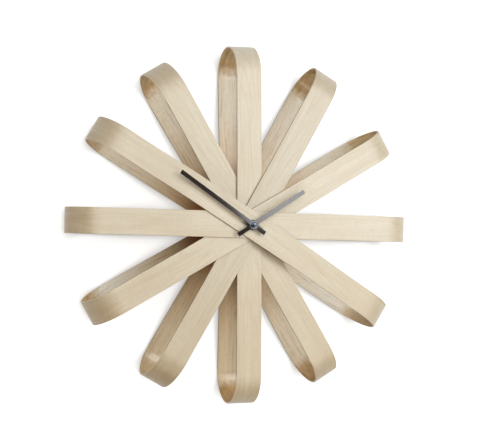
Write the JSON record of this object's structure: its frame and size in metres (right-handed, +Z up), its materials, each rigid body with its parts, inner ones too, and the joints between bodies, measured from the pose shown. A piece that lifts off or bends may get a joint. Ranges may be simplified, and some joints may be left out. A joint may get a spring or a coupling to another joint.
{
  "type": "wooden wall clock",
  "caption": "Round wall clock of crossing bentwood bands whose looped ends stand at the hours, with two slim metal hands and a battery movement at the hub.",
  "frame": {"origin": "middle of the hanger strap's back face, on the wall; the hub's axis is 22 mm below it", "axes": "-Y towards the viewer in front of the clock, +Y into the wall, +Z up to twelve o'clock, +X to three o'clock"},
  "size_m": [0.5104, 0.1069, 0.5104],
  "materials": {
    "pale_wood": "clear satin lacquer over fine straight grain",
    "steel": "zinc plated",
    "black_plastic": "fine texture",
    "brass": "machined",
    "black_rubber": "matt",
    "dark_steel": "dark plated",
    "dark_aluminium": "dark anodised, satin",
    "white_plastic": "moulded",
    "bonded_magnet": "moulded magnet",
    "copper": "enamelled wire",
    "circuit_green": "solder mask",
    "battery_jacket": "printed sleeve",
    "blue_steel": "dark blue, polished"
  },
  "bodies": {
    "clock": {"band_4_10": "pale_wood", "band_3_9": "pale_wood", "band_2_8": "pale_wood", "band_1_7": "pale_wood", "band_12_6": "pale_wood", "band_11_5": "pale_wood", "rear_ring": "pale_wood", "inner_ring": "pale_wood", "clamp_screw_01": "steel", "clamp_screw_02": "steel", "clamp_screw_03": "steel", "clamp_screw_04": "steel", "clamp_screw_05": "steel", "clamp_screw_06": "steel", "clamp_screw_07": "steel", "clamp_screw_08": "steel", "clamp_screw_09": "steel", "clamp_screw_10": "steel", "clamp_screw_11": "steel", "clamp_screw_12": "steel", "hanger_strap": "steel", "hanger_screw_left": "steel", "hanger_screw_right": "steel", "case_screw_1": "steel", "case_screw_2": "steel", "case_screw_3": "steel", "case_screw_4": "steel", "stator": "steel", "coil_core": "steel", "quartz_crystal": "steel", "contact_plus": "steel", "contact_minus": "steel", "movement_case": "black_plastic", "movement_cover": "black_plastic", "driver_chip": "black_plastic", "threaded_bushing": "brass", "rubber_seal": "black_rubber", "flat_washer": "dark_steel", "hex_nut": "dark_steel", "coil_former": "white_plastic", "coil_winding": "copper", "circuit_board": "circuit_green"},
    "minute": {"centre_wheel": "brass", "minute_hand": "dark_aluminium", "axis_cap": "blue_steel"},
    "hour": {"hour_wheel": "white_plastic", "hour_hand": "dark_aluminium"},
    "minute_wheel": {"minute_wheel": "white_plastic"},
    "knob": {"setting_knob": "white_plastic"},
    "third_wheel": {"third_wheel": "white_plastic"},
    "fourth_wheel": {"fourth_wheel": "white_plastic"},
    "fifth_wheel": {"fifth_wheel": "white_plastic"},
    "rotor": {"rotor": "bonded_magnet"},
    "battery": {"battery": "battery_jacket"}
  },
  "joints": [
    {"name": "minute_spin", "type": "hinge", "parent": "clock", "child": "minute", "pos_m": [0, 0, -0.022], "axis": [0, 1, 0], "continuous": true},
    {"name": "hour_spin", "type": "hinge", "parent": "clock", "child": "hour", "pos_m": [0, 0, -0.022], "axis": [0, 1, 0], "continuous": true},
    {"name": "minute_wheel_spin", "type": "hinge", "parent": "clock", "child": "minute_wheel", "pos_m": [0.00728, 0, -0.0178], "axis": [0, 1, 0], "continuous": true},
    {"name": "knob_spin", "type": "hinge", "parent": "clock", "child": "knob", "pos_m": [0.01555, 0, -0.01926], "axis": [0, 1, 0], "continuous": true},
    {"name": "third_wheel_spin", "type": "hinge", "parent": "clock", "child": "third_wheel", "pos_m": [-0.00342, 0, -0.01466], "axis": [0, 1, 0], "continuous": true},
    {"name": "fourth_wheel_spin", "type": "hinge", "parent": "clock", "child": "fourth_wheel", "pos_m": [-0.01013, 0, -0.0171], "axis": [0, 1, 0], "continuous": true},
    {"name": "fifth_wheel_spin", "type": "hinge", "parent": "clock", "child": "fifth_wheel", "pos_m": [-0.01523, 0, -0.01416], "axis": [0, 1, 0], "continuous": true},
    {"name": "rotor_spin", "type": "hinge", "parent": "clock", "child": "rotor", "pos_m": [-0.01199, 0, -0.0103], "axis": [0, 1, 0], "continuous": true},
    {"name": "battery_slide", "type": "slide", "parent": "clock", "child": "battery", "axis": [0, 1, 0], "range_m": [0, 0.018]}
  ],
  "couplings": [
    {"joint": "hour_spin", "follows": "minute_spin", "ratio": 0.083333},
    {"joint": "minute_wheel_spin", "follows": "minute_spin", "ratio": -0.33333},
    {"joint": "knob_spin", "follows": "minute_spin", "ratio": 1},
    {"joint": "third_wheel_spin", "follows": "minute_spin", "ratio": -8},
    {"joint": "fourth_wheel_spin", "follows": "minute_spin", "ratio": 60},
    {"joint": "fifth_wheel_spin", "follows": "minute_spin", "ratio": -360},
    {"joint": "rotor_spin", "follows": "minute_spin", "ratio": 1800}
  ]
}
